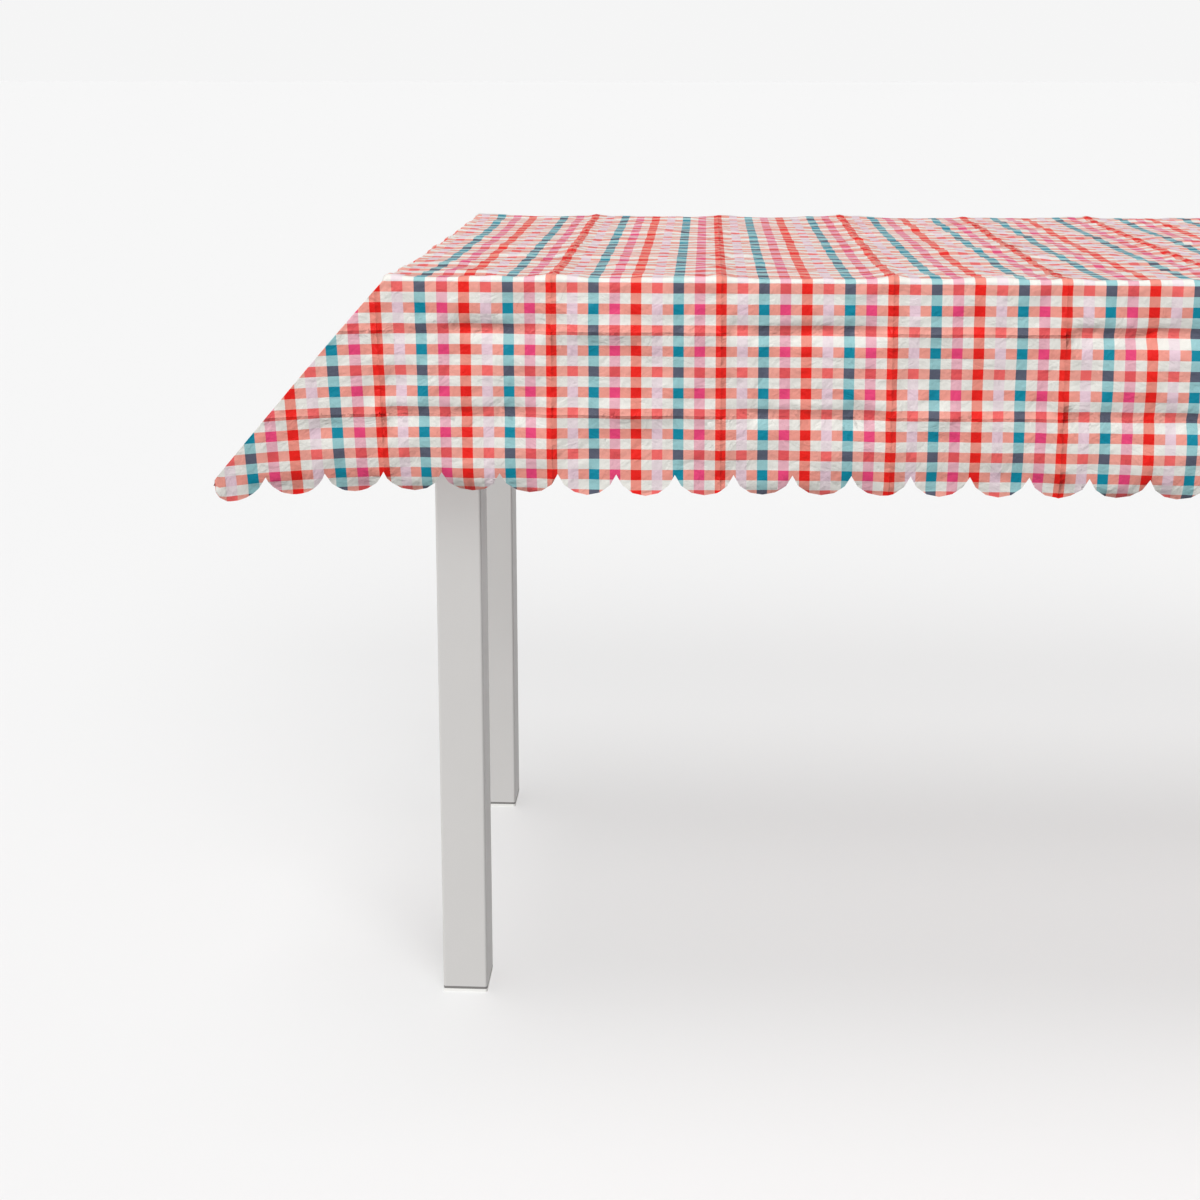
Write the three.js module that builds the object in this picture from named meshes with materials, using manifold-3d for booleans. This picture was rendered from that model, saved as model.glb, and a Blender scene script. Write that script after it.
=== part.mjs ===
// A long narrow table with a steel underframe, and a scalloped tablecloth draped over it.
// Millimetres, +Z up. The origin is on the floor under the middle of the table top;
// X runs along the table, and -Y is the front.

import * as THREE from 'three';
import { mergeVertices } from 'three/addons/utils/BufferGeometryUtils.js';
import Module from 'manifold-3d';

const wasm = await Module();
wasm.setup();

// ---------------------------------------------------------------- driving dimensions

// Table top: a board with a glued edge band.
const topLength = 1598;
const topDepth = 598;
const topThickness = 18;
const topHeight = 741.4;            // floor to the board's upper face
const edgeBandThickness = 1;

// Legs: square steel tube.
const legSize = 45;
const legWall = 2;
const legCornerRadius = 2.5;
const frontPairInset = 22;          // table end to the outer side of a front leg
const rearPairOutset = 20;          // how much further out the rear pair stands
const legFrontInset = 72;           // table's long edge to the leg

// Foot caps: a thin flange under the tube and a plug inside it.
const capFlange = 3;
const capPlugHeight = 16;
const capWall = 2;

// Rails: rectangular steel tube, open at both ends.
const railThickness = 20;
const railHeight = 40;
const railWall = 1.5;
const railSetback = 4;              // leg's outer face to the rail's outer face

// Corner brackets, with their bolts and the rivet nuts in the leg walls.
const bracketThickness = 3;
const bracketHeight = 38;
const boltRadius = 3;
const boltHeadRadius = 5.5;
const boltHeadHeight = 3.3;
const boltReach = 9;                // bolt end beyond the inside of the leg wall
const boltStagger = 9;              // the two bolts of a corner pass above and below each other
const nutWall = 1.6;
const nutLength = 8;

// Long screws that hold the board down on the rails.
const screwRadius = 2;
const screwHeadRadius = 4.2;
const screwHeadHeight = 2.4;
const screwBite = 12;               // depth in the board
const longRailScrewAt = 400;        // from the middle of the table
const endRailScrewAt = 80;
const middleRailScrewAt = 110;

// Tablecloth: one die-cut sheet with a scalloped edge all round.
const clothThickness = 2;
const endOverhang = 173;            // over each end, measured from the bend
const longOverhang = 198;           // over the front and the rear, measured from the bend
const lengthLobes = 36;
const widthLobes = 18;
const lobeDepth = 20;
const lobeSteps = 6;                // straight steps along each lobe

// Clearances.
const seat = 0.3;                   // between pieces that bear on each other
const holeClearance = 0.3;          // round a screw, a bolt or a nut
const clothClearance = 0.6;         // between the cloth and the board's edge
const roundSteps = 12;
const cornerSteps = 2;

// ---------------------------------------------------------------- levels and edges

const topUnderside = topHeight - topThickness;
const railTop = topUnderside - seat;
const railMiddle = railTop - railHeight / 2;
const legBottom = capFlange + seat;
const legTop = topUnderside - seat;
const halfLength = topLength / 2 + seat + edgeBandThickness;
const halfDepth = topDepth / 2 + seat + edgeBandThickness;

// ---------------------------------------------------------------- materials

const finish = (color, roughness, metalness) => new THREE.MeshStandardMaterial({ color, roughness, metalness });
const clothFilm = finish('#e9a79d', 0.45, 0);
const boardLaminate = finish('#e9e7e1', 0.5, 0);
const edgeBandPlastic = finish('#dedcd6', 0.5, 0);
const greyPaint = finish('#c9c8c4', 0.42, 0.15);
const capPlastic = finish('#e4e3df', 0.5, 0);
const zincSteel = finish('#b9bcc0', 0.35, 0.9);

// ---------------------------------------------------------------- solids and booleans

function toSolid(geometry) {
  const bare = geometry.clone();
  bare.deleteAttribute('normal');
  bare.deleteAttribute('uv');
  const merged = mergeVertices(bare, 1e-4);
  return new wasm.Manifold(new wasm.Mesh({
    numProp: 3,
    vertProperties: new Float32Array(merged.attributes.position.array),
    triVerts: new Uint32Array(merged.index.array),
  }));
}

function toGeometry(solid) {
  const mesh = solid.getMesh();
  const geometry = new THREE.BufferGeometry();
  geometry.setAttribute('position', new THREE.BufferAttribute(mesh.vertProperties, 3));
  geometry.setIndex(new THREE.BufferAttribute(mesh.triVerts, 1));
  geometry.computeVertexNormals();
  return geometry;
}

const group = new THREE.Group();

function addPiece(name, geometry, material, position = [0, 0, 0]) {
  const mesh = new THREE.Mesh(geometry, material);
  mesh.name = name;
  mesh.position.set(...position);
  group.add(mesh);
  return mesh;
}

function boxBetween(low, high) {
  const size = high.map((value, axis) => value - low[axis]);
  const middle = high.map((value, axis) => (value + low[axis]) / 2);
  return new THREE.BoxGeometry(...size).translate(...middle);
}

// A rectangle with rounded corners, centred on the origin; a hole takes the same outline as a Path.
function roundedOutline(width, depth, radius, outline = new THREE.Shape()) {
  const x = width / 2 - radius;
  const y = depth / 2 - radius;
  outline.absarc(x, y, radius, 0, Math.PI / 2);
  outline.absarc(-x, y, radius, Math.PI / 2, Math.PI);
  outline.absarc(-x, -y, radius, Math.PI, Math.PI * 1.5);
  outline.absarc(x, -y, radius, Math.PI * 1.5, Math.PI * 2);
  return outline;
}

function tube(width, depth, wall, radius, length) {
  const outline = roundedOutline(width, depth, radius);
  const innerRadius = Math.max(radius - wall, wall / 4);
  outline.holes.push(roundedOutline(width - 2 * wall, depth - 2 * wall, innerRadius, new THREE.Path()));
  return new THREE.ExtrudeGeometry(outline, { depth: length, bevelEnabled: false, curveSegments: cornerSteps });
}

// A cylinder along one axis, from the point `start`, running `length` along `direction`.
function rod(start, direction, radius, length) {
  const axis = new THREE.Vector3(...direction);
  const turn = new THREE.Quaternion().setFromUnitVectors(new THREE.Vector3(0, 1, 0), axis);
  const middle = new THREE.Vector3(...start).addScaledVector(axis, length / 2);
  return new THREE.CylinderGeometry(radius, radius, length, roundSteps)
    .applyQuaternion(turn)
    .translate(middle.x, middle.y, middle.z);
}

function cut(geometry, tools) {
  const solid = tools.reduce((rest, tool) => rest.subtract(toSolid(tool)), toSolid(geometry));
  return toGeometry(solid);
}

// A lathe-turned piece whose profile's height runs along `direction` from `start`.
function turned(profile, start, direction) {
  const turn = new THREE.Quaternion().setFromUnitVectors(
    new THREE.Vector3(0, 1, 0),
    new THREE.Vector3(...direction),
  );
  return new THREE.LatheGeometry(profile.map(([r, h]) => new THREE.Vector2(r, h)), roundSteps)
    .applyQuaternion(turn)
    .translate(...start);
}

// ---------------------------------------------------------------- corners of the underframe

// The middle of the wider strip that a rail leaves free on a leg's face.
function freeStripMiddle(legLow, legHigh, railLow, railHigh) {
  return railLow - legLow > legHigh - railHigh ? (legLow + railLow) / 2 : (railHigh + legHigh) / 2;
}

const longRailY = topDepth / 2 - legFrontInset - railSetback - railThickness / 2;
const endRailX = topLength / 2 - frontPairInset - railSetback - railThickness / 2;
const legY = topDepth / 2 - legFrontInset - legSize / 2;

const corners = [];
for (const [side, ySide] of [['front', -1], ['rear', 1]]) {
  for (const [end, xSide] of [['left', -1], ['right', 1]]) {
    const inset = frontPairInset - (ySide > 0 ? rearPairOutset : 0);
    corners.push({
      name: `${side}_${end}`,
      xSide,
      ySide,
      x: xSide * (topLength / 2 - inset - legSize / 2),
      y: ySide * legY,
    });
  }
}

const nutRadius = boltRadius + holeClearance + nutWall;
const flangeDepth = legSize / 2 + seat + bracketThickness;   // leg's axis to the bracket's inner face

for (const corner of corners) {
  const { name, x, y, xSide, ySide } = corner;
  const half = legSize / 2;
  const boltY = freeStripMiddle(y - half, y + half,
    ySide * longRailY - railThickness / 2, ySide * longRailY + railThickness / 2);
  const boltX = freeStripMiddle(x - half, x + half,
    xSide * endRailX - railThickness / 2, xSide * endRailX + railThickness / 2);

  // Each bolt starts under its head on the bracket and runs into the leg.
  const bolts = [
    { end: 'a', start: [x - xSide * (flangeDepth + seat), boltY, railMiddle + boltStagger], way: [xSide, 0, 0] },
    { end: 'b', start: [boltX, y - ySide * (flangeDepth + seat), railMiddle - boltStagger], way: [0, ySide, 0] },
  ];
  const throughAll = bracketThickness + legWall + 4 * seat;
  const boltHoles = bolts.map((bolt) => rod(bolt.start, bolt.way, boltRadius + holeClearance, throughAll));
  const nutHoles = bolts.map((bolt) => rod(bolt.start, bolt.way, nutRadius + holeClearance, throughAll));

  const leg = tube(legSize, legSize, legWall, legCornerRadius, legTop - legBottom).translate(x, y, legBottom);
  addPiece(`leg_${name}`, cut(leg, nutHoles), greyPaint);

  const inner = [x - xSide * flangeDepth, y - ySide * flangeDepth];
  const flangeAcrossX = boxBetween(
    [Math.min(inner[0], inner[0] + xSide * bracketThickness), Math.min(inner[1], y + ySide * half),
      railMiddle - bracketHeight / 2],
    [Math.max(inner[0], inner[0] + xSide * bracketThickness), Math.max(inner[1], y + ySide * half),
      railMiddle + bracketHeight / 2],
  );
  const flangeAcrossY = boxBetween(
    [Math.min(inner[0], x + xSide * half), Math.min(inner[1], inner[1] + ySide * bracketThickness),
      railMiddle - bracketHeight / 2],
    [Math.max(inner[0], x + xSide * half), Math.max(inner[1], inner[1] + ySide * bracketThickness),
      railMiddle + bracketHeight / 2],
  );
  const angle = toGeometry(toSolid(flangeAcrossX).add(toSolid(flangeAcrossY)));
  addPiece(`corner_bracket_${name}`, cut(angle, boltHoles), zincSteel);

  const shank = bracketThickness + 2 * seat + legWall + boltReach;
  const boltProfile = [
    [0, -boltHeadHeight], [boltHeadRadius * 0.8, -boltHeadHeight], [boltHeadRadius, -boltHeadHeight * 0.5],
    [boltHeadRadius, 0], [boltRadius, 0], [boltRadius, shank], [0, shank],
  ];
  const nutInner = boltRadius + holeClearance;
  const nutStart = bracketThickness + 2 * seat;
  const nutProfile = [
    [nutInner, nutStart], [nutRadius, nutStart], [nutRadius, nutStart + nutLength],
    [nutInner, nutStart + nutLength], [nutInner, nutStart],
  ];
  for (const bolt of bolts) {
    addPiece(`leg_bolt_${name}_${bolt.end}`, turned(boltProfile, bolt.start, bolt.way), zincSteel);
    addPiece(`rivet_nut_${name}_${bolt.end}`, turned(nutProfile, bolt.start, bolt.way), zincSteel);
  }

  const flange = new THREE.ExtrudeGeometry(
    roundedOutline(legSize, legSize, legCornerRadius),
    { depth: capFlange, bevelEnabled: false, curveSegments: cornerSteps },
  );
  const plugSize = legSize - 2 * legWall - 2 * seat;
  const plug = new THREE.ExtrudeGeometry(
    roundedOutline(plugSize, plugSize, 1),
    { depth: capPlugHeight + capFlange / 2, bevelEnabled: false, curveSegments: cornerSteps },
  ).translate(0, 0, capFlange / 2);
  const hollow = plugSize - 2 * capWall;
  const plugHollow = boxBetween([-hollow / 2, -hollow / 2, capFlange], [hollow / 2, hollow / 2, 2 * capPlugHeight]);
  const cap = toSolid(flange).add(toSolid(plug)).subtract(toSolid(plugHollow));
  addPiece(`foot_cap_${name}`, toGeometry(cap), capPlastic, [x, y, 0]);
}

// ---------------------------------------------------------------- rails

const cornerNamed = (name) => corners.find((corner) => corner.name === name);
const railEnd = flangeDepth + seat;                   // leg's axis to the end of a rail

// A rail lies between two points on its centre line, along X or along Y.
function railBetween(from, to) {
  const alongX = from[1] === to[1];
  const length = Math.hypot(to[0] - from[0], to[1] - from[1]);
  const section = alongX ? [railHeight, railThickness] : [railThickness, railHeight];
  const rail = tube(section[0], section[1], railWall, railWall, length);
  return (alongX ? rail.rotateY(Math.PI / 2) : rail.rotateX(-Math.PI / 2))
    .translate(from[0], from[1], railMiddle);
}

const frontLeft = cornerNamed('front_left');
const rearLeft = cornerNamed('rear_left');
const longRailMiddleEdge = longRailY - railThickness / 2 - seat;
const rails = [
  {
    name: 'rail_front',
    from: [frontLeft.x + railEnd, -longRailY],
    to: [-frontLeft.x - railEnd, -longRailY],
    screws: [[-longRailScrewAt, -longRailY], [longRailScrewAt, -longRailY]],
  },
  {
    name: 'rail_rear',
    from: [rearLeft.x + railEnd, longRailY],
    to: [-rearLeft.x - railEnd, longRailY],
    screws: [[-longRailScrewAt, longRailY], [longRailScrewAt, longRailY]],
  },
  {
    name: 'rail_left',
    from: [-endRailX, -legY + railEnd],
    to: [-endRailX, legY - railEnd],
    screws: [[-endRailX, -endRailScrewAt], [-endRailX, endRailScrewAt]],
  },
  {
    name: 'rail_right',
    from: [endRailX, -legY + railEnd],
    to: [endRailX, legY - railEnd],
    screws: [[endRailX, -endRailScrewAt], [endRailX, endRailScrewAt]],
  },
  {
    name: 'rail_middle',
    from: [0, -longRailMiddleEdge],
    to: [0, longRailMiddleEdge],
    screws: [[0, -middleRailScrewAt], [0, middleRailScrewAt]],
  },
];

const screwHeadLevel = railTop - railHeight - seat;   // under the rail, where the head bears
const screwLength = topUnderside + screwBite - screwHeadLevel;
const screwProfile = [
  [0, -screwHeadHeight], [screwHeadRadius * 0.75, -screwHeadHeight], [screwHeadRadius, -screwHeadHeight * 0.4],
  [screwHeadRadius, 0], [screwRadius, 0], [screwRadius, screwLength - screwRadius * 2], [0, screwLength],
];
const pilotHoles = [];
for (const rail of rails) {
  const holes = rail.screws.map(([x, y]) =>
    rod([x, y, screwHeadLevel], [0, 0, 1], screwRadius + holeClearance, screwLength + holeClearance));
  pilotHoles.push(...holes);
  addPiece(rail.name, cut(railBetween(rail.from, rail.to), holes), greyPaint);
  rail.screws.forEach(([x, y], index) => {
    const name = `top_screw_${rail.name.replace('rail_', '')}_${index + 1}`;
    addPiece(name, turned(screwProfile, [x, y, screwHeadLevel], [0, 0, 1]), zincSteel);
  });
}

// ---------------------------------------------------------------- table top

const board = boxBetween(
  [-topLength / 2, -topDepth / 2, topUnderside],
  [topLength / 2, topDepth / 2, topHeight],
);
addPiece('table_top', cut(board, pilotHoles), boardLaminate);

const bandOutline = roundedOutline(2 * halfLength, 2 * halfDepth, edgeBandThickness);
bandOutline.holes.push(roundedOutline(topLength + 2 * seat, topDepth + 2 * seat, seat, new THREE.Path()));
addPiece(
  'edge_band',
  new THREE.ExtrudeGeometry(bandOutline, { depth: topThickness, bevelEnabled: false, curveSegments: cornerSteps }),
  edgeBandPlastic,
  [0, 0, topUnderside],
);

// ---------------------------------------------------------------- tablecloth

const bendX = halfLength + clothClearance + clothThickness;
const bendY = halfDepth + clothClearance + clothThickness;
const clothTop = topHeight + seat + clothThickness;
// Points of a scalloped hem from `start` to `end` at height zero: arcs that hang lobeDepth below
// their cusps, so that the lowest point of each lobe is at zero.
function hemPoints(start, end, lobes) {
  const pitch = (end - start) / lobes;
  const radius = (pitch * pitch / 4 + lobeDepth * lobeDepth) / (2 * lobeDepth);
  const sweep = Math.asin(Math.min(1, pitch / 2 / radius));
  const points = [];
  for (let lobe = 0; lobe < lobes; lobe += 1) {
    const middle = start + pitch * (lobe + 0.5);
    for (let step = lobe === 0 ? 0 : 1; step <= lobeSteps; step += 1) {
      const angle = sweep * (2 * step / lobeSteps - 1);
      points.push(new THREE.Vector2(middle + radius * Math.sin(angle), radius - radius * Math.cos(angle)));
    }
  }
  return points;
}

// One side of the sheet's hem, hanging `drop` below the bend.
function hangingHem(bend, overhang, lobes, drop) {
  return hemPoints(-bend - overhang, bend + overhang, lobes)
    .map((point) => new THREE.Vector2(point.x, point.y - drop));
}

// The front and rear drops run on past the ends of the table to the ridges of the four corner folds.
function longDrop() {
  const hem = hangingHem(bendX, endOverhang, lengthLobes, longOverhang)
    .filter((point) => Math.abs(point.x) - bendX <= endOverhang * (-point.y / longOverhang));
  return [new THREE.Vector2(bendX, 0), new THREE.Vector2(-bendX, 0), ...hem];
}

// The end drops hang straight down between the corner folds.
function endDrop() {
  const hem = hangingHem(bendY, longOverhang, widthLobes, endOverhang)
    .filter((point) => Math.abs(point.x) <= bendY);
  return [new THREE.Vector2(bendY, 0), new THREE.Vector2(-bendY, 0), ...hem];
}

// The sheet is doubled at a corner: its second layer is a triangle behind the end of the long drop.
function cornerFold() {
  const ridge = 1 - lobeDepth / longOverhang;
  return [
    new THREE.Vector2(0, 0),
    new THREE.Vector2(0, -(endOverhang - lobeDepth)),
    new THREE.Vector2(endOverhang * ridge, -longOverhang * ridge),
  ];
}

function sheet(outline, thickness) {
  return new THREE.ExtrudeGeometry(new THREE.Shape(outline), { depth: thickness, bevelEnabled: false });
}

// Stands a flat outline up, its width along X, with its outer side on the front or rear bend.
function standAlongX(geometry, thickness, ySide) {
  geometry.rotateX(Math.PI / 2);
  return geometry.translate(0, ySide < 0 ? thickness - bendY : bendY, clothTop);
}

// The same with its width along Y, on the left or right bend.
function standAlongY(geometry, thickness, xSide) {
  geometry.rotateX(Math.PI / 2);
  geometry.rotateZ(Math.PI / 2);
  return geometry.translate(xSide < 0 ? -bendX : bendX - thickness, 0, clothTop);
}

const pieces = [boxBetween([-bendX, -bendY, clothTop - clothThickness], [bendX, bendY, clothTop])];
for (const ySide of [-1, 1]) {
  pieces.push(standAlongX(sheet(longDrop(), clothThickness), clothThickness, ySide));
  for (const xSide of [-1, 1]) {
    const fold = sheet(cornerFold(), 2 * clothThickness);
    if (xSide < 0) {
      fold.rotateY(Math.PI).translate(0, 0, 2 * clothThickness);
    }
    pieces.push(standAlongX(fold.translate(xSide * bendX, 0, 0), 2 * clothThickness, ySide));
  }
}
for (const xSide of [-1, 1]) {
  pieces.push(standAlongY(sheet(endDrop(), clothThickness), clothThickness, xSide));
}
const cloth = pieces.map(toSolid).reduce((whole, piece) => whole.add(piece));
addPiece('tablecloth', toGeometry(cloth), clothFilm);

export default group;
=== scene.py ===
"""A check-print film tablecloth with a scalloped edge, draped over a long table on steel legs."""
import math

import bpy
import numpy as np
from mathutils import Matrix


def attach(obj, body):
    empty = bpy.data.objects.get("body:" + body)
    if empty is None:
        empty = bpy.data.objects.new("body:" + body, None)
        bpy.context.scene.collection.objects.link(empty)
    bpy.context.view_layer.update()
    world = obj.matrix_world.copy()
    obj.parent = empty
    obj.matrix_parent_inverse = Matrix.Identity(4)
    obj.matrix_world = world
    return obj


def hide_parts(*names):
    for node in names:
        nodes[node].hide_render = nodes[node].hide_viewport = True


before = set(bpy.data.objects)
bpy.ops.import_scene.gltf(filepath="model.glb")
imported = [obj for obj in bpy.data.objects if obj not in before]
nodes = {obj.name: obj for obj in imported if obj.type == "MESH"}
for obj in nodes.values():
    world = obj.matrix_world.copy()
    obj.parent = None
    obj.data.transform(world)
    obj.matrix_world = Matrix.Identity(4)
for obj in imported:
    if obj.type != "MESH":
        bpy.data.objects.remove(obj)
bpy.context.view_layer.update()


# ---------------------------------------------------------------- camera
# It stands in front of the table's left half, a little below a standing eye, and looks
# slightly down. The lens is shifted so that the uprights stay near to upright.
view_from = (-0.5129, -1.7414, 0.9468)
view_pitch = math.radians(8.0)
view_turn = math.radians(2.594)

lens = bpy.data.cameras.new("camera")
lens.sensor_width = 36.0
lens.lens = 48.139
lens.shift_x = -0.0287
lens.shift_y = -0.2650
lens.clip_end = 200.0
camera = bpy.data.objects.new("camera", lens)
camera.location = view_from
camera.rotation_euler = (math.pi / 2 - view_pitch, 0.0, view_turn)
bpy.context.scene.collection.objects.link(camera)
bpy.context.scene.camera = camera


# ---------------------------------------------------------------- tablecloth
# One die-cut sheet of printed plastic film, unfolded from its packet and laid over the table.
# Its edge is cut in round scallops. It falls straight at the sides, and each corner hangs as a
# doubled ear.
class Flow:
    """A value, colour or vector on its way through a material's nodes."""

    def __init__(self, tree, socket=None):
        self.tree = tree
        self.socket = socket

    def node(self, kind, settings=None, sockets=None, out=0):
        """Any node: its settings first, then its sockets' values or links. One output goes on."""
        made = self.tree.nodes.new(kind)
        for key, value in (settings or {}).items():
            if key == "stops":
                ramp = made.color_ramp
                while len(ramp.elements) < len(value):
                    ramp.elements.new(1.0)
                for stop, (place, colour) in zip(ramp.elements, value):
                    stop.position = place
                    stop.color = colour
            elif key == "blend":
                made.color_ramp.interpolation = value
            else:
                setattr(made, key, value)
        for key, value in (sockets or {}).items():
            if isinstance(value, Flow):
                self.tree.links.new(value.socket, made.inputs[key])
            else:
                made.inputs[key].default_value = value
        return Flow(self.tree, made.outputs[out]) if len(made.outputs) else Flow(self.tree)

    def math(self, operation, first, second=0.0):
        """One Math node on two values."""
        return self.node("ShaderNodeMath", {"operation": operation}, {0: first, 1: second})

    def __add__(self, other):
        return self.math("ADD", self, other)

    def __sub__(self, other):
        return self.math("SUBTRACT", self, other)

    def __mul__(self, other):
        return self.math("MULTIPLY", self, other)

    def __truediv__(self, other):
        return self.math("DIVIDE", self, other)

    def __rsub__(self, other):
        return self.math("SUBTRACT", other, self)

    def __rtruediv__(self, other):
        return self.math("DIVIDE", other, self)

    def __gt__(self, other):
        return self.math("GREATER_THAN", self, other)

    def __lt__(self, other):
        return self.math("LESS_THAN", self, other)

    __radd__ = __add__
    __rmul__ = __mul__

    def fraction(self):
        return self.math("FRACT", self)

    def size(self):
        return self.math("ABSOLUTE", self)

    def mix(self, first, second):
        """The colour between `first` and `second`, by this value."""
        return self.node("ShaderNodeMix", {"data_type": "RGBA"},
                         {0: self, 6: first, 7: second}, out=2)


def begin(name):
    """A new material and the start of its nodes."""
    material = bpy.data.materials.new(name)
    material.use_nodes = True
    material.node_tree.nodes.clear()
    return material, Flow(material.node_tree)


def finish_with(flow, sockets):
    """The material's Principled shader, with its values and links, into the output."""
    shader = flow.node("ShaderNodeBsdfPrincipled", None, sockets)
    flow.node("ShaderNodeOutputMaterial", None, {0: shader})


def linear(red, green, blue):
    """A printed colour, 0 to 255, as the light it gives back."""
    share = np.array([red, green, blue]) / 255.0
    light = np.where(share <= 0.04045, share / 12.92, ((share + 0.055) / 1.055) ** 2.4)
    return (*(float(value) for value in light), 1.0)


check = 0.009681            # side of one printed square
column_start = -0.8090      # middle of a red column
row_start = -0.3094         # middle of a full-colour row
fold_step = 16 * check      # between the packing folds that run across the table
cross_step = 8 * check      # between the creases that run along it
cross_start = -0.3016 - 5 * check

bend_x, bend_y = 0.8074, 0.3029     # outer faces of the drops, from the middle of the table
bend_radius = 0.003
cloth_level = 0.7423        # lowest level of the laid film's upper face
film = 0.00035              # the sheet's thickness

flat_x = bend_x - bend_radius
flat_y = bend_y - bend_radius
scallop_depth = 0.020
half_length, half_width = 0.9803, 0.5035
long_scallops, end_scallops = 34, 16
steps_per_scallop = 6       # mesh columns round each one


def arc_through(pitch):
    """The radius of a scallop from its pitch and depth: (pitch^2 / 4 + depth^2) / (2 depth)."""
    return (pitch * pitch / 4 + scallop_depth ** 2) / (2 * scallop_depth)


corner_radius = 0.0315      # the big scallop at each corner
corner_reach = math.sqrt(corner_radius ** 2 - (corner_radius - scallop_depth) ** 2)
corner_x = half_length - corner_radius
corner_y = half_width - corner_radius
first_cusp_x = corner_x - corner_reach
first_cusp_y = corner_y - corner_reach
ridge_turn = math.radians(53.5)     # where on it the ear's ridge comes out
ridge_x = corner_x + corner_radius * math.sin(ridge_turn)
ridge_y = corner_y + corner_radius * math.cos(ridge_turn)


def hem_distance(along, first_cusp, scallops, corner_along, corner_across, half_across):
    """How far the cut edge lies from the middle line: the strip's half width less a scallop's
    radius, plus the height of its circle there; past the last cusp, the corner's circle."""
    pitch = 2 * first_cusp / scallops
    radius = arc_through(pitch)
    place = (np.abs(along) + first_cusp) / pitch
    from_middle = (place - np.floor(place) - 0.5) * pitch
    lobes = half_across - radius + np.sqrt(np.maximum(radius ** 2 - from_middle ** 2, 0))
    round_corner = corner_across + np.sqrt(
        np.maximum(corner_radius ** 2 - (np.abs(along) - corner_along) ** 2, 0))
    return np.where(np.abs(along) < first_cusp, lobes, round_corner)


def hem_stations(first_cusp, scallops, end, corner_along):
    """Places along one cut edge, at equal angles round every scallop, and on to the ear's tip."""
    pitch = 2 * first_cusp / scallops
    radius = arc_through(pitch)
    sweep = math.asin(min(1.0, pitch / 2 / radius))
    turn = np.linspace(-sweep, sweep, steps_per_scallop + 1)[:-1]
    middles = -first_cusp + pitch * (np.arange(scallops) + 0.5)
    lobes = (middles[:, None] + radius * np.sin(turn)[None, :]).ravel()
    last = math.asin((end - corner_along) / corner_radius)
    first = -math.asin(corner_reach / corner_radius)
    corner = corner_along + corner_radius * np.sin(np.linspace(first, last, steps_per_scallop))
    return np.unique(np.round(np.concatenate([-corner, lobes, corner]), 6))


along_x = hem_stations(first_cusp_x, long_scallops, ridge_x, corner_x)
along_y = hem_stations(first_cusp_y, end_scallops, ridge_y, corner_y)
folds_x = column_start + fold_step * np.arange(0, 11)
top_x = np.unique(np.round(np.concatenate([
    along_x[np.abs(along_x) < flat_x - 0.002], folds_x[np.abs(folds_x) < flat_x],
    [-flat_x, flat_x]]), 5))
folds_y = cross_start + cross_step * np.arange(-1, 10)
folds_y = folds_y[np.abs(folds_y) < flat_y - 0.004]
plain_y = along_y[(np.abs(along_y) < flat_y - 0.002)
                  & (np.abs(along_y[:, None] - folds_y[None, :]).min(axis=1) > 0.002)]
top_y = np.unique(np.round(np.concatenate([plain_y, folds_y, [-flat_y, flat_y]]), 5))
ear_share = np.concatenate([
    (along_x[along_x > flat_x + 0.002] - flat_x) / (ridge_x - flat_x),
    (along_y[along_y > flat_y + 0.002] - flat_y) / (ridge_y - flat_y)])
ear_share = np.unique(np.round(ear_share, 4))
ear_share = ear_share[np.concatenate([[True], np.diff(ear_share) > 0.004])]
ear_share[-1] = 1.0

# Rows down a drop: round the bend, on to the two creases along the table and the cusps,
# then round the scallops.
arc_length = bend_radius * math.pi / 2
fold_drops = -flat_y - cross_start + np.array([0.0, cross_step])
cusp_drop = half_width - flat_y - scallop_depth - 0.003
by_a_fold = np.array([-0.010, -0.006, -0.003, 0.0, 0.003, 0.006, 0.010])
drop_rows = np.concatenate([
    np.linspace(0, arc_length, 4), np.linspace(0.013, fold_drops[0] - 0.018, 3),
    fold_drops[0] + by_a_fold, np.linspace(fold_drops[0] + 0.018, fold_drops[1] - 0.018, 5),
    fold_drops[1] + by_a_fold, np.linspace(fold_drops[1] + 0.018, cusp_drop, 4)])
row_share = drop_rows / drop_rows[-1]
hem_share = np.array([0.27, 0.52, 0.77, 1.0])

sheet_points, sheet_faces = [], []
point_count = 0


def add_grid(points):
    """One grid of flat places, rows first, as faces that turn anticlockwise seen from the print."""
    global point_count
    rows, columns = points.shape[:2]
    index = point_count + np.arange(rows * columns).reshape(rows, columns)
    corners = np.stack([index[:-1, :-1], index[:-1, 1:], index[1:, 1:], index[1:, :-1]], axis=-1)
    quads = corners.reshape(-1, 4)
    a, b, c = (points.reshape(-1, 2)[quads[:, k] - point_count] for k in (0, 1, 2))
    turn = np.sum((b - a)[:, 0] * (c - a)[:, 1] - (b - a)[:, 1] * (c - a)[:, 0])
    sheet_faces.append(quads if turn > 0 else quads[:, ::-1])
    sheet_points.append(points.reshape(-1, 2))
    point_count += rows * columns


def full_stations(inner, ridge_end, flat_end):
    """The stations of one strip: out to the ears' tips on both sides."""
    outer = flat_end + (ridge_end - flat_end) * ear_share
    return np.concatenate([-outer[::-1], inner, outer])


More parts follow.
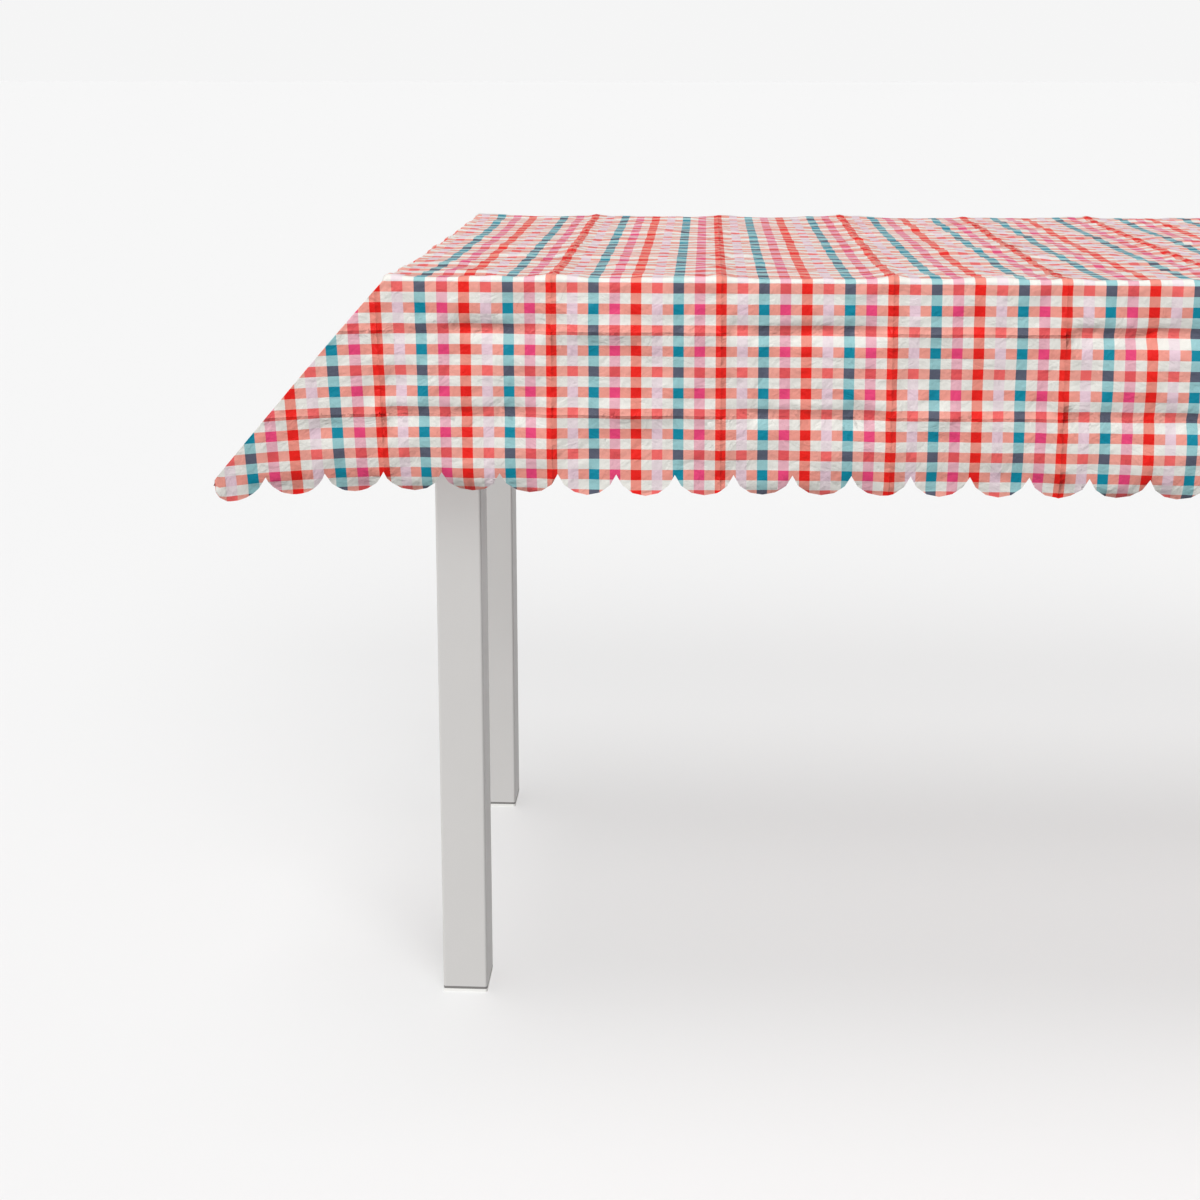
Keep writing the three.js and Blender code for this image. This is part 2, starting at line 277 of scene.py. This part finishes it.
def strip(inner, flat_along, ridge_along, flat_across, ridge_across, hem):
    """A hanging strip: each column runs from the bend, or from the ear's ridge, to the cut edge."""
    along = full_stations(inner, ridge_along, flat_along)
    share = np.clip((np.abs(along) - flat_along) / (ridge_along - flat_along), 0, 1)
    start = flat_across + (ridge_across - flat_across) * share
    end = np.maximum(hem(along), start)
    cusp = np.maximum(start, np.minimum(flat_across + cusp_drop, end - 0.15 * (end - start)))
    across = np.concatenate([start + (cusp - start) * row_share[:, None],
                             cusp + (end - cusp) * hem_share[:, None]])
    return np.broadcast_to(along[None, :], across.shape), across


add_grid(np.stack(np.meshgrid(top_x, top_y), axis=-1))
front_along, front_across = strip(
    top_x, flat_x, ridge_x, flat_y, ridge_y,
    lambda x: hem_distance(x, first_cusp_x, long_scallops, corner_x, corner_y, half_width))
end_along, end_across = strip(
    top_y, flat_y, ridge_y, flat_x, ridge_x,
    lambda y: hem_distance(y, first_cusp_y, end_scallops, corner_y, corner_x, half_length))
for side in (-1, 1):
    add_grid(np.stack([front_along, side * front_across], axis=-1))
    add_grid(np.stack([side * end_across, end_along], axis=-1))

flat = np.concatenate(sheet_points)
quads = np.concatenate(sheet_faces)
_, keep, same = np.unique(np.round(flat, 5), axis=0, return_index=True, return_inverse=True)
flat = flat[keep]
quads = same.ravel()[quads]

ear_reach = 0.025           # the ears' tips stand this far out from the long drops
ear_droop = 0.0050          # and sag by 1.4 times this at the tip
ridge_angle = math.atan2(ridge_x - flat_x, ridge_y - flat_y)


def round_over(distance):
    """The bend: a quarter circle, then straight down. Gives how far out and how far down."""
    turn = np.minimum(distance / bend_radius, math.pi / 2)
    out = bend_radius * np.sin(turn)
    down = bend_radius * (1 - np.cos(turn)) + np.maximum(distance - bend_radius * math.pi / 2, 0)
    return out, down


def ear_front(over_x, over_y):
    """The ear's front leaf: the flat corner hangs in the drop's plane, curves gently out of it
    with a power of its distance past the table's end, and sags with the square of that."""
    out_x = over_x * (1 - 0.012 * np.clip(over_x / 0.1, 0, 1))
    out_y, down = round_over(over_y)
    share = out_x / 0.17
    out_y = out_y + ear_reach * share ** 1.2 * np.clip(over_y / 0.05, 0, 1)
    down = down + ear_droop * share ** 2 * 1.4
    return np.stack([out_x, out_y, -down], axis=-1)


def bowed_path(steps=200):
    """Directions of the ear's back leaf: from the ridge to straight down on a unit sphere, bowed to
    the rear by as much as makes its length the flat angle between the ridge and the end drop."""
    wanted = math.pi / 2 - ridge_angle
    tip = ear_front(np.array([0.2 * math.sin(ridge_angle)]),
                    np.array([0.2 * math.cos(ridge_angle)]))[0]
    start = tip / np.linalg.norm(tip)
    arc = math.acos(-start[2])
    share = np.linspace(0, 1, steps)
    straight = (np.sin((1 - share) * arc)[:, None] * start
                + np.sin(share * arc)[:, None] * np.array([0, 0, -1.0])) / math.sin(arc)
    low, high = 0.0, 1.5
    for _ in range(40):
        bow = (low + high) / 2
        path = straight + bow * np.sin(math.pi * share)[:, None] * np.array([0, -1.0, 0])
        path = path / np.linalg.norm(path, axis=1)[:, None]
        length = np.sum(np.linalg.norm(np.diff(path, axis=0), axis=1))
        low, high = (bow, high) if length < wanted else (low, bow)
    run = np.concatenate([[0], np.cumsum(np.linalg.norm(np.diff(path, axis=0), axis=1))])
    return run / run[-1], path


path_run, path_way = bowed_path()


def ear_back(over_x, over_y):
    """The ear's back leaf: a cone from the table's corner through the bowed path, joined to the
    ridge on one side and to the end drop's bend on the other."""
    radius = np.hypot(over_x, over_y)
    angle = np.arctan2(over_x, over_y)
    share = np.clip((angle - ridge_angle) / (math.pi / 2 - ridge_angle), 0, 1)
    way = np.stack([np.interp(share, path_run, path_way[:, k]) for k in range(3)], axis=-1)
    ridge = ear_front(radius * math.sin(ridge_angle), radius * math.cos(ridge_angle))
    out, down = round_over(radius)
    edge = np.stack([out, np.zeros_like(out), -down], axis=-1)
    ridge_gap = ridge - radius[:, None] * path_way[0]
    edge_gap = edge - radius[:, None] * path_way[-1]
    return radius[:, None] * way + (1 - share)[:, None] * ridge_gap + share[:, None] * edge_gap


front_spring, back_spring = 0.0045, 0.0012      # how far the film stands up at the long edges
edge_zone = 0.07                                # and how fast that dies away inwards


def drape(flat):
    """Where each flat place hangs: on the top as it is, beyond a bend round it and down, and beyond
    both bends in the ear. The film springs clear of the board by an exponential of its distance
    from the long edges, most of all in front. Each corner is the same shape, mirrored."""
    sign = np.where(flat < 0, -1.0, 1.0)
    over = np.maximum(np.abs(flat) - np.array([flat_x, flat_y]), 0)
    inner = np.minimum(np.abs(flat), np.array([flat_x, flat_y]))
    place = np.concatenate([inner, np.full((len(flat), 1), cloth_level)], axis=1)
    out_y, down_y = round_over(over[:, 1])
    out_x, down_x = round_over(over[:, 0])
    hanging = np.stack([out_x, out_y, -(down_x + down_y)], axis=-1)
    in_ear = (over[:, 0] > 1e-6) & (over[:, 1] > 1e-6)
    front_leaf = np.arctan2(over[:, 0], over[:, 1]) <= ridge_angle + 1e-6
    hanging[in_ear & front_leaf] = ear_front(*over[in_ear & front_leaf].T)
    hanging[in_ear & ~front_leaf] = ear_back(*over[in_ear & ~front_leaf].T)
    place = place + hanging
    lift = np.where(flat[:, 1] < 0, front_spring, back_spring)
    place[:, 2] += lift * np.exp(-np.maximum(flat_y - np.abs(flat[:, 1]), 0) / edge_zone)
    place[:, :2] *= sign
    return place


edges = np.concatenate([quads[:, [0, 1]], quads[:, [1, 2]], quads[:, [2, 3]], quads[:, [3, 0]]])
edges = np.unique(np.sort(edges[edges[:, 0] != edges[:, 1]], axis=1), axis=0)


def relax(place, weight, rounds):
    """Each weighted point moves towards the mean of its neighbours, many times over."""
    count = np.bincount(edges.ravel(), minlength=len(place))[:, None]
    for _ in range(rounds):
        total = np.zeros_like(place)
        for axis in range(3):
            total[:, axis] = (np.bincount(edges[:, 0], place[edges[:, 1], axis], len(place))
                              + np.bincount(edges[:, 1], place[edges[:, 0], axis], len(place)))
        place = place + weight[:, None] * (total / count - place)
    return place


def point_normals(place):
    """The mean direction of the faces round each point."""
    cross = np.cross(place[quads[:, 2]] - place[quads[:, 0]],
                     place[quads[:, 3]] - place[quads[:, 1]])
    total = np.zeros_like(place)
    for corner in range(4):
        for axis in range(3):
            total[:, axis] += np.bincount(quads[:, corner], cross[:, axis], len(place))
    return total / np.maximum(np.linalg.norm(total, axis=1), 1e-12)[:, None]


def fold_height(flat):
    """Height of the film above its smooth drape, as a sum: an exponential ridge along each fold
    across the table, lower on every other one; a wandering tent-shaped crease along the table,
    pressed in on even panels and raised on odd ones, that fades at the panel's sides; a sine
    swell of each panel; three products of sines for waves; two closer ripples, one of them only
    beside the folds; and a rippled pinch, a Gaussian both ways, where folds and creases cross."""
    x, y = flat.T
    fold = (x - column_start) / fold_step
    panel = np.floor(fold)
    from_fold = np.abs(fold - np.round(fold)) * fold_step
    side = np.where(np.mod(np.round(fold), 2) > 0, 1.0, 0.55)
    height = 0.0022 * side * np.exp(-from_fold / 0.009)
    in_panel = np.sin(math.pi * (fold - panel)) ** 2
    cross = (y - cross_start) / cross_step
    from_cross = (cross - np.round(cross)) * cross_step
    way = np.where(np.mod(panel, 2) > 0, 1.0, -1.0)
    strength = 0.85 + 0.15 * np.sin(1.7 * panel + 2.3 * np.round(cross))
    waver = 0.0018 * np.sin(38 * x + 1.9 * np.round(cross)) + 0.0009 * np.sin(97 * x + 1.1)
    tent = np.maximum(1 - np.abs(from_cross + waver) / 0.0115, 0) ** 1.15
    height += np.where(way > 0, 0.0020, -0.0058) * strength * in_panel ** 0.3 * tent
    height += 0.0010 * in_panel * np.sin(math.pi * (cross - np.floor(cross)) * 2 + panel)
    height += 0.0010 * np.sin(21 * x + 9 * y + 0.6) * np.sin(17 * y - 6 * x + 1.3)
    height += 0.0011 * np.sin(61 * x - 23 * y) * np.sin(53 * y + 19 * x + 0.4)
    height += 0.0007 * np.sin(131 * x + 47 * y + 1.0) * np.sin(117 * y - 61 * x)
    height += 0.0009 * np.exp(-from_fold / 0.022) * np.sin(190 * y + 2.0 * np.sin(31 * y + 3 * x))
    height += 0.0008 * np.sin(166 * y + 3.0 * np.sin(19 * x)) * np.sin(43 * x + 27 * y)
    near = np.exp(-(from_fold / 0.020) ** 2 - (from_cross / 0.018) ** 2)
    height += 0.0010 * near * np.sin(330 * x + 190 * y * way)
    return height


place = drape(flat)
over = np.maximum(np.abs(flat) - np.array([flat_x, flat_y]), 0)
angle = np.arctan2(over[:, 0], over[:, 1])
near_corner = np.abs(flat[:, 1]) > flat_y - 0.09
soft = (over[:, 0] > 0.012) & near_corner & ((over[:, 1] < 1e-6) | (angle > ridge_angle + 0.02))
leaf_softness, leaf_rounds = 0.7, 160
place = relax(place, np.where(soft, leaf_softness, 0.0), leaf_rounds)

from_tip = np.hypot(np.abs(flat[:, 0]) - ridge_x, np.abs(flat[:, 1]) - ridge_y)
tip_softness, tip_reach, tip_rounds = 0.6, 0.016, 14
place = relax(place, tip_softness * np.clip(1 - from_tip / tip_reach, 0, 1), tip_rounds)

height = fold_height(flat)
on_top = (over.max(axis=1) < 1e-6)
# The board stops every hollow: on the top they level out softly, and beside its edge band the film
# goes in by a millimetre at most.
rise, knee = 0.0009, 0.0005
height = np.where(on_top, np.log1p(np.exp((height + rise) / knee)) * knee, height)
band_zone, band_fade = 0.042, 0.012
deepest, kept_out = -0.0062, 0.0052
by_the_band = np.clip((band_zone - over.max(axis=1)) / band_fade, 0, 1)
height = np.where(on_top, height, np.maximum(height, deepest + kept_out * by_the_band))
wave_height = 0.0016
hanging_wave = wave_height * np.sin(7.1 * flat[:, 0] + 0.8) * np.clip(over[:, 1] / 0.2, 0, 1) ** 1.5
height = height + np.where(over[:, 1] > 0, hanging_wave, 0)
# The scalloped hem turns in, by the square of the way down to it.
curl_in, curl_start, curl_span = 0.0085, 0.150, 0.048
curl = curl_in * np.clip((over.max(axis=1) - curl_start) / curl_span, 0, 1.2) ** 2
height = height - curl * (0.65 + 0.35 * np.sin(11 * flat[:, 0] + 8 * flat[:, 1] + 2.2))
# The ears' ridges stay clean: the folds and waves fade out within five centimetres of them.
from_ridge = np.abs(angle - ridge_angle) * np.hypot(over[:, 0], over[:, 1])
in_ear = (over[:, 0] > 1e-6) & (over[:, 1] > 1e-6)
ridge_fade = 0.050
height = np.where(in_ear, height * np.clip(from_ridge / ridge_fade, 0, 1) ** 1.2, height)
place = place + point_normals(place) * height[:, None]

# The film's thickness: a second layer under the print, joined to it by a narrow wall at the cut
# edge.
count = len(place)
under = place - point_normals(place) * film
half_edges = np.concatenate(
    [quads[:, [0, 1]], quads[:, [1, 2]], quads[:, [2, 3]], quads[:, [3, 0]]])
half_edges = half_edges[half_edges[:, 0] != half_edges[:, 1]]
codes = half_edges[:, 0] * count + half_edges[:, 1]
cut_edges = half_edges[~np.isin(codes, half_edges[:, 1] * count + half_edges[:, 0])]
wall = np.concatenate([cut_edges[:, ::-1], cut_edges + count], axis=1)
all_quads = np.concatenate([quads, quads[:, ::-1] + count, wall])
faces = [tuple(dict.fromkeys(face)) for face in all_quads.tolist()]
faces = [face for face in faces if len(face) > 2]

# The print leans a little near the corners, where the sheet was pulled askew as it was laid.
reach_x = np.abs(flat[:, 0])
slide = np.interp(reach_x, [0.70, 0.7703, 0.809, 0.8864, 0.96],
                  [0.0, 0.0012, 0.0007, 0.0041, 0.0060])
lean = np.interp(reach_x, [0.66, 0.7703, 0.809, 0.8864, 0.96],
                 [0.0, 0.0155, 0.033, 0.053, 0.055])
upright_drop = 0.19         # the lean turns about this far down the drop
slide = slide + lean * np.maximum(upright_drop - over[:, 1], 0)
slide = slide * np.exp(-np.maximum(flat_y - np.abs(flat[:, 1]), 0) / edge_zone)
print_place = flat.copy()
print_place[:, 0] -= np.sign(flat[:, 0]) * slide
print_place = np.concatenate([print_place, print_place]).astype(np.float32)

mesh = bpy.data.meshes.new("draped_tablecloth")
mesh.from_pydata(np.concatenate([place, under]).tolist(), [], faces)
uv = mesh.uv_layers.new(name="flat")
loop_points = np.empty(len(mesh.loops), dtype=np.int32)
mesh.loops.foreach_get("vertex_index", loop_points)
uv.data.foreach_set("uv", print_place[loop_points].ravel())
mesh.polygons.foreach_set("use_smooth", np.ones(len(mesh.polygons), dtype=bool))
edge_ends = np.empty(2 * len(mesh.edges), dtype=np.int32)
mesh.edges.foreach_get("vertices", edge_ends)
edge_ends = np.sort(edge_ends.reshape(-1, 2), axis=1).astype(np.int64)
rim = np.sort(np.concatenate([cut_edges, cut_edges + count]), axis=1)
sharp = np.isin(edge_ends[:, 0] * 2 * count + edge_ends[:, 1], rim[:, 0] * 2 * count + rim[:, 1])
mesh.edges.foreach_set("use_edge_sharp", sharp)
mesh.update()

cloth = bpy.data.objects.new("draped_tablecloth", mesh)
bpy.context.scene.collection.objects.link(cloth)

# The column colours of the three kinds of row, from a red column on, one square each.
columns_in_repeat, rows_in_repeat = 8, 4
full_salmon, bare_salmon = linear(228, 156, 143), linear(226, 148, 135)
white = linear(223, 222, 216)
full_row = [linear(231, 32, 24), full_salmon, linear(230, 100, 98), full_salmon,
            linear(84, 88, 104), full_salmon, linear(216, 82, 86), full_salmon]
bare_row = [linear(222, 26, 20), bare_salmon, linear(218, 190, 202), bare_salmon,
            linear(0, 128, 152), bare_salmon, linear(222, 66, 116), bare_salmon]
white_row = [linear(226, 140, 126), white, linear(222, 209, 213), white,
             linear(144, 190, 194), white, linear(222, 170, 182), white]

material, flow = begin("check_print_film")
spot = flow.node("ShaderNodeUVMap", {"uv_map": "flat"})
flat_u = flow.node("ShaderNodeSeparateXYZ", None, {0: spot}, out=0)
flat_v = flow.node("ShaderNodeSeparateXYZ", None, {0: spot}, out=1)
column = ((flat_u - column_start) / check + 0.5) / columns_in_repeat
row = ((row_start - flat_v) / check + 0.5) / rows_in_repeat
column_in_repeat = column.fraction()
row_in_repeat = row.fraction() * rows_in_repeat
stripes = [
    flow.node("ShaderNodeValToRGB", {
        "stops": [(k / columns_in_repeat, shade) for k, shade in enumerate(kind)],
        "blend": "CONSTANT"}, {0: column_in_repeat})
    for kind in (full_row, bare_row, white_row)]
is_full = row_in_repeat < 1.0
is_bare = (row_in_repeat > 2.0) * (row_in_repeat < 3.0)
print_colour = is_full.mix(is_bare.mix(stripes[2], stripes[1]), stripes[0])
mottle = flow.node("ShaderNodeTexNoise", None, {"Vector": spot, "Scale": 900.0, "Detail": 3.0})
cloudy = flow.node("ShaderNodeTexNoise", None, {"Vector": spot, "Scale": 34.0, "Detail": 4.0})
ink = flow.node("ShaderNodeMix", {"data_type": "RGBA", "blend_type": "MULTIPLY"},
                {0: mottle * 0.16 + cloudy * 0.10, 6: print_colour,
                 7: linear(205, 198, 196)}, out=2)

from_fold = (((flat_u - column_start) / fold_step + 0.5).fraction() - 0.5).size() * fold_step
crinkle = flow.node("ShaderNodeTexNoise", None, {"Vector": spot, "Scale": 160.0, "Detail": 5.0,
                                                 "Roughness": 0.6})
slow = flow.node("ShaderNodeTexNoise", None, {"Vector": spot, "Scale": 26.0, "Detail": 4.0,
                                              "Distortion": 0.6})
fall_base = 2.718           # of the exponential by which creases die away
near_fold = flow.math("POWER", fall_base, (from_fold + slow * 0.003).size() * -420.0)
on_cross = (((flat_v - cross_start) / cross_step + 0.5).fraction() - 0.5).size() * cross_step
near_cross = flow.math("POWER", fall_base, (on_cross + slow * 0.004).size() * -380.0)
crumple = flow.node("ShaderNodeTexNoise", None, {"Vector": spot, "Scale": 70.0, "Detail": 3.0,
                                                 "Distortion": 1.2})
creased = near_fold + near_cross

# The creases along the table are valleys in every other panel and stand up a little in those
# between. Crinkle and crumple are strongest by the folds and where they cross.
every_other = ((flat_u - column_start) / (2 * fold_step)).fraction() < 0.5
away_from_fold = flow.math("MINIMUM", from_fold / 0.014, 1.0)
broad_cross = flow.math("POWER", fall_base, (on_cross + slow * 0.006).size() * -120.0)
valley = broad_cross * away_from_fold * (0.4 - every_other * 1.7)
relief = (valley + near_fold * 0.30 + near_cross * 0.12 + (creased * 0.5 + 0.22) * crinkle * 1.0
          + (creased * 0.7 + near_fold * near_cross * 2.0 + 0.34) * crumple * 2.2 + slow * 2.6)
dent = flow.node("ShaderNodeBump", None, {"Strength": 1.0, "Distance": 0.0018, "Height": relief})
finish_with(flow, {"Base Color": ink, "Roughness": cloudy * 0.16 + 0.38, "Normal": dent,
                   "Specular IOR Level": 0.2})
mesh.materials.append(material)

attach(cloth, "tablecloth")
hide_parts("tablecloth")


# ---------------------------------------------------------------- legs and rails
# Square legs and oblong rails of thin steel tube, cut to length and drilled, and powder coated
# a light satin grey. Brackets and bolts join them.
material, flow = begin("grey_powder_coat")
here = flow.node("ShaderNodeTexCoord", None, None, out=3)
orange_peel = flow.node("ShaderNodeTexNoise", None, {"Vector": here, "Scale": 620.0, "Detail": 2.0})
drift = flow.node("ShaderNodeTexNoise", None, {"Vector": here, "Scale": 5.0, "Detail": 3.0})
scuff = flow.node("ShaderNodeTexNoise", None, {"Vector": here, "Scale": 42.0, "Detail": 6.0,
                                               "Roughness": 0.7})
height_up = flow.node("ShaderNodeSeparateXYZ", None, {0: here}, out=2)
# The seam between tube and cap is too narrow to show as a gap, so its shade is painted into the
# coat's colour as a dark band at the bottom.
seam_top, seam_strength = 0.0058, 0.85      # painted shade: a dark band at the foot of the coat, for the seam over each foot cap
painted_seam_shade = (height_up < seam_top) * seam_strength
coat = (drift * 0.5 + scuff * 0.16).mix(linear(195, 193, 191), linear(207, 205, 203))
coat = painted_seam_shade.mix(coat, linear(96, 94, 92))
skin = flow.node("ShaderNodeBump", None,
                 {"Strength": 0.18, "Distance": 0.0003, "Height": orange_peel})
finish_with(flow, {"Base Color": coat, "Roughness": scuff * 0.14 + 0.34, "Normal": skin,
                   "Specular IOR Level": 0.5})
grey_coat = material


def refinish(names, material):
    """Gives carried-over parts their finish."""
    for name in names:
        node = nodes[name]
        node.data.materials.clear()
        node.data.materials.append(material)


refinish([name for name in nodes if name.startswith(("leg_front", "leg_rear", "rail_"))], grey_coat)


# ---------------------------------------------------------------- foot caps
# Pale moulded plastic caps pressed into the legs' open ends. Only a thin flange shows, between
# the tube and the floor.
material, flow = begin("pale_cap_plastic")
here = flow.node("ShaderNodeTexCoord", None, None, out=3)
grain = flow.node("ShaderNodeTexNoise", None, {"Vector": here, "Scale": 480.0, "Detail": 3.0})
scrape = flow.node("ShaderNodeTexNoise", None, {"Vector": here, "Scale": 60.0, "Detail": 5.0})
tone = (scrape * 0.6).mix(linear(240, 239, 236), linear(222, 220, 216))
skin = flow.node("ShaderNodeBump", None, {"Strength": 0.2, "Distance": 0.0002, "Height": grain})
finish_with(flow, {"Base Color": tone, "Roughness": grain * 0.2 + 0.42, "Normal": skin})
refinish([name for name in nodes if name.startswith("foot_cap")], material)


# ---------------------------------------------------------------- table top
# A chipboard with white melamine on both faces, screwed to the rails from below. It is seen only
# from below once the cloth is on.
material, flow = begin("white_melamine")
here = flow.node("ShaderNodeTexCoord", None, None, out=3)
pearl = flow.node("ShaderNodeTexNoise", None, {"Vector": here, "Scale": 240.0, "Detail": 4.0})
cloud = flow.node("ShaderNodeTexNoise", None, {"Vector": here, "Scale": 3.0, "Detail": 2.0})
tone = (cloud * 0.5 + pearl * 0.15).mix(linear(233, 231, 225), linear(222, 219, 212))
skin = flow.node("ShaderNodeBump", None, {"Strength": 0.12, "Distance": 0.0002, "Height": pearl})
finish_with(flow, {"Base Color": tone, "Roughness": pearl * 0.15 + 0.45, "Normal": skin})
refinish(["table_top"], material)


# ---------------------------------------------------------------- edge band
# A thin plastic strip glued round the board's edge and trimmed flush. It is a shade darker than
# the board.
material, flow = begin("edge_strip")
here = flow.node("ShaderNodeTexCoord", None, None, out=3)
trim = flow.node("ShaderNodeTexNoise", None, {"Vector": here, "Scale": 300.0, "Detail": 3.0})
tone = (trim * 0.5).mix(linear(228, 226, 219), linear(212, 209, 201))
finish_with(flow, {"Base Color": tone, "Roughness": trim * 0.2 + 0.4})
refinish(["edge_band"], material)


# ---------------------------------------------------------------- brackets and fasteners
# Bent steel angles, bolts, rivet nuts and long screws, all bright zinc plated. They join the
# rails to the legs and hold the board down.
material, flow = begin("bright_zinc")
here = flow.node("ShaderNodeTexCoord", None, None, out=3)
spangle = flow.node("ShaderNodeTexVoronoi", None, {"Vector": here, "Scale": 260.0}, out=0)
haze = flow.node("ShaderNodeTexNoise", None, {"Vector": here, "Scale": 70.0, "Detail": 4.0})
tone = (spangle * 0.5 + haze * 0.3).mix(linear(176, 180, 186), linear(206, 208, 206))
finish_with(flow, {"Base Color": tone, "Roughness": haze * 0.25 + 0.22, "Metallic": 1.0})
refinish([name for name in nodes
          if name.startswith(("corner_bracket", "leg_bolt", "rivet_nut", "top_screw"))], material)


# ---------------------------------------------------------------- floor and light
# A plain pale studio floor and three lamps: a wide one overhead, a key at the front left that
# throws no shadow, and a wide fill at the front right. The world is bright only near the horizon.
floor_mesh = bpy.data.meshes.new("studio_floor")
reach = 60.0
floor_mesh.from_pydata(
    [(-reach, -reach, 0), (reach, -reach, 0), (reach, reach, 0), (-reach, reach, 0)],
    [], [(0, 1, 2, 3)])
floor = bpy.data.objects.new("studio_floor", floor_mesh)
bpy.context.scene.collection.objects.link(floor)
material, flow = begin("studio_floor")
finish_with(flow, {"Base Color": (0.802, 0.802, 0.802, 1.0), "Roughness": 1.0,
                   "Specular IOR Level": 0.0})
floor_mesh.materials.append(material)
floor.visible_diffuse = False       # it throws no light back up on to the drops

world = bpy.data.worlds.new("studio")
world.use_nodes = True
world.node_tree.nodes.clear()
flow = Flow(world.node_tree)
way_up = flow.node("ShaderNodeSeparateXYZ", None, {0: flow.node("ShaderNodeTexCoord")}, out=2)
brightness = [(0.0, 0.22), (0.44, 0.26), (0.48, 0.915), (0.58, 0.915), (0.66, 0.32), (1.0, 0.30)]
sky = flow.node("ShaderNodeValToRGB", {
    "stops": [(stop, (grey, grey, grey, 1.0)) for stop, grey in brightness]},
    {0: way_up * 0.5 + 0.5})
backdrop = flow.node("ShaderNodeBackground", None, {0: sky, 1: 1.0})
flow.node("ShaderNodeOutputWorld", None, {0: backdrop})
bpy.context.scene.world = world

for name, energy, spread, tilt, turn, shadow in (
        ("overhead", 0.62, 30, 0, 0, True), ("front_left_key", 2.50, 12, 52, -34, False),
        ("front_right_fill", 0.60, 34, 48, 26, True)):
    sun = bpy.data.lights.new(name, "SUN")
    sun.energy = energy
    sun.angle = math.radians(spread)
    sun.use_shadow = shadow
    lamp = bpy.data.objects.new(name, sun)
    lamp.rotation_euler = (math.radians(tilt), 0.0, math.radians(turn))
    bpy.context.scene.collection.objects.link(lamp)
bpy.context.scene.view_settings.view_transform = "Standard"
